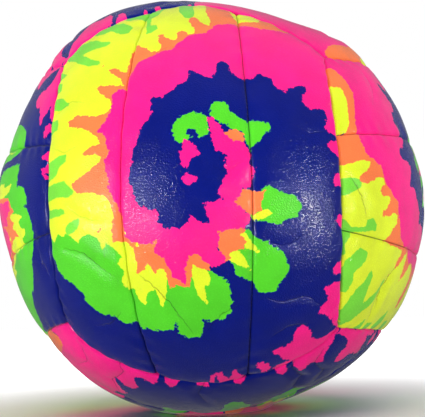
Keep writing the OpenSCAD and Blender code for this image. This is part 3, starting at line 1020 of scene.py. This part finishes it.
def woven(name, low, high, thread_mm, relief_mm, roughness):
    """Plain weave: over and under threads as two crossed waves."""
    s = Shader(name, Specular_IOR_Level=0.2, Sheen_Weight=0.2)
    at = s.place_mm()
    turns = {"Vector": at, "Scale": 0.16 / thread_mm, "Distortion": 0.6}
    warp = s.add("ShaderNodeTexWave", turns, output="Fac", bands_direction="X")
    weft = s.add("ShaderNodeTexWave", turns, output="Fac", bands_direction="Z")
    height = s.sum(warp, weft, "MAXIMUM")
    colour = s.blend(s.ramp(s.noise(at, 3, 4), 0.3, 0.7), low, high)
    return s.finish(colour, s.ramp(height, 0, 1, roughness, roughness - 0.12), height, relief_mm)


def sewing_thread():
    s = Shader("sewing_thread", Specular_IOR_Level=0.4, Sheen_Weight=0.15)
    at = s.place_mm()
    ply = s.add("ShaderNodeTexWave", {"Vector": at, "Scale": 1.4, "Distortion": 1.0},
                output="Fac", bands_direction="DIAGONAL")
    # painted shade: the thread is darker in the grooves between its plies, where the bump sinks
    colour = s.blend(ply, linear(8, 20, 70), linear(24, 48, 120))
    return s.finish(colour, s.ramp(ply, 0, 1, 0.6, 0.45), ply, 0.04)


def seed_skin():
    s = Shader("seed_skin", Specular_IOR_Level=0.5)
    at = s.place_mm()
    tone = s.attribute("seed_tone")
    colour = s.blend(tone, linear(214, 170, 84), linear(240, 208, 130))
    fine = s.noise(at, 0.3, 3)
    return s.finish(colour, s.ramp(fine, 0.3, 0.7, 0.32, 0.5), fine, 0.03)


# ---------------------------------------------------------------- assembly
def place_piece(piece, nodes, slot, *materials):
    for material in materials:
        piece.data.materials.append(material)
    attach(piece, "root")
    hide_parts(*nodes)
    return piece


backing = woven("backing_knit", linear(226, 222, 212), linear(240, 237, 228), 0.35, 0.06, 0.9)
cotton = woven("bag_cotton", linear(222, 214, 192), linear(238, 231, 212), 0.3, 0.06, 0.92)
navy_thread = sewing_thread()
leathers = [leather(slot) for slot in STRIP_SLOTS]

for group in GROUPS:
    for k in range(len(STRIP_SLOTS)):
        cover = panel(group, k, strip_fields(group, k), rng)
        place_piece(cover, [f"{group[0]}_{group[4][k]}_panel"], STRIP_SLOTS[k], leathers[k], backing)
    for edge in range(4):
        node, sewn = seam_thread(group, edge)
        place_piece(sewn, [node], "thread", navy_thread)

back_group = next(g for g in GROUPS if g[0] == CLOSING_SEAM[0])
closing = new_mesh("closing_stitches", *joined([ladder_stitch(back_group, CLOSING_SEAM[1])]))
place_piece(closing, ["closing_thread"], "thread", navy_thread)

bag = cotton_bag(*round_mesh(BAG_CUTS))
place_piece(bag, ["inner_bag"], "bag_cloth", cotton)
place_piece(millet(*round_mesh(SEED_CUTS), rng), ["seed_fill"], "seed", seed_skin())


# ---------------------------------------------------------------- studio
# half the floor's side in metres, and the distances in millimetres over which its painted glow comes up
FLOOR_HALF = 4.0
GLOW_FROM = 38
GLOW_TO = 130


def pale_floor():
    mesh = bpy.data.meshes.new("floor")
    corners = [(-1, -1, 0), (1, -1, 0), (1, 1, 0), (-1, 1, 0)]
    mesh.from_pydata([FLOOR_HALF * Vector(c) for c in corners], [], [(0, 1, 2, 3)])
    floor = in_scene("floor", mesh)
    s = Shader("pale_floor", Specular_IOR_Level=0.0)
    at = s.place_mm()
    tone = s.ramp(s.noise(at, 60, 2), 0.3, 0.7, 0.8, 0.83)
    s.tree.links.new(s.grey(tone), s.principled.inputs["Base Color"])
    s.principled.inputs["Roughness"].default_value = 0.9
    # further out the floor glows by its own emission, painted light with no lamp behind it, so that it runs
    # into the white backdrop
    far = s.add("ShaderNodeVectorMath", {0: at}, output="Value", operation="LENGTH")
    s.principled.inputs["Emission Color"].default_value = (1, 1, 1, 1)
    painted_glow = s.ramp(far, GLOW_FROM, GLOW_TO)
    s.tree.links.new(painted_glow, s.principled.inputs["Emission Strength"])
    mesh.materials.append(s.material)
    floor.visible_glossy = False


# the camera's turn to the right of the front, rise and roll in degrees, and its distance from
# the ball's centre in radii
CAMERA_TURN = 6.2
CAMERA_RISE = -7.7
CAMERA_ROLL = 1.9
CAMERA_FAR = 4
CAMERA_LENS = 68.5
CAMERA_SHIFT = (-0.004, 0.008)


def studio_camera():
    """Sets the camera up, and returns its right and the way it looks."""
    data = bpy.data.cameras.new("camera")
    data.lens = CAMERA_LENS
    data.sensor_width = 36
    data.shift_x, data.shift_y = CAMERA_SHIFT
    data.clip_start = 0.01
    data.clip_end = 50
    camera = in_scene("camera", data)
    turn, rise, roll = np.radians((CAMERA_TURN, CAMERA_RISE, CAMERA_ROLL))
    level = math.cos(rise)
    away = np.array([math.sin(turn) * level, -math.cos(turn) * level, math.sin(rise)])
    level_right = np.array([math.cos(turn), math.sin(turn), 0])
    level_up = np.cross(away, level_right)
    up = math.cos(roll) * level_up + math.sin(roll) * level_right
    right = np.cross(up, away)
    axes = Matrix(np.stack([right, up, away], 1).tolist())
    at = Vector((away * CAMERA_FAR * BALL_R + CENTRE) * MM)
    camera.matrix_world = Matrix.Translation(at) @ axes.to_4x4()
    bpy.context.scene.camera = camera
    return right, -away


def soft_light(name, way, distance, size, power, shines=False):
    """A soft box that faces the ball from a direction, and only shows in its gloss if it shines."""
    data = bpy.data.lights.new(name, "AREA")
    data.shape = "RECTANGLE"
    data.size, data.size_y = size
    data.energy = power
    lamp = in_scene(name, data)
    lamp.location = Vector(CENTRE * MM) + Vector(unit(way)) * distance
    lamp.rotation_mode = "QUATERNION"
    lamp.rotation_quaternion = Vector(-unit(way)).to_track_quat("-Z", "Y")
    lamp.visible_glossy = shines


def white_world(strength):
    world = bpy.data.worlds.new("studio")
    world.use_nodes = True
    tree = world.node_tree
    background = tree.nodes["Background"]
    background.inputs["Color"].default_value = (1, 1, 1, 1)
    # the backdrop shows white, and lights the ball more softly than that
    rays = tree.nodes.new("ShaderNodeLightPath")
    level = tree.nodes.new("ShaderNodeMapRange")
    level.inputs["To Min"].default_value = strength
    level.inputs["To Max"].default_value = 1.0
    tree.links.new(rays.outputs["Is Camera Ray"], level.inputs["Value"])
    tree.links.new(level.outputs["Result"], background.inputs["Strength"])
    bpy.context.scene.world = world


pale_floor()
right, look = studio_camera()
soft_light("key_right", 0.72 * right - 0.68 * look, 0.6, (0.07, 0.1), 5.6, True)
soft_light("key_left", -0.76 * right - 0.64 * look, 0.6, (0.05, 0.07), 3.9, True)
soft_light("overhead", (0.1, -0.35, 1), 0.8, (0.8, 0.8), 5.4)
soft_light("back_right", (0.7, 1.0, 0.6), 0.9, (0.8, 0.8), 2.2)
soft_light("back_left", (-0.7, 1.0, 0.6), 0.9, (0.8, 0.8), 2.2)
white_world(0.14)
bpy.context.scene.view_settings.view_transform = "Standard"
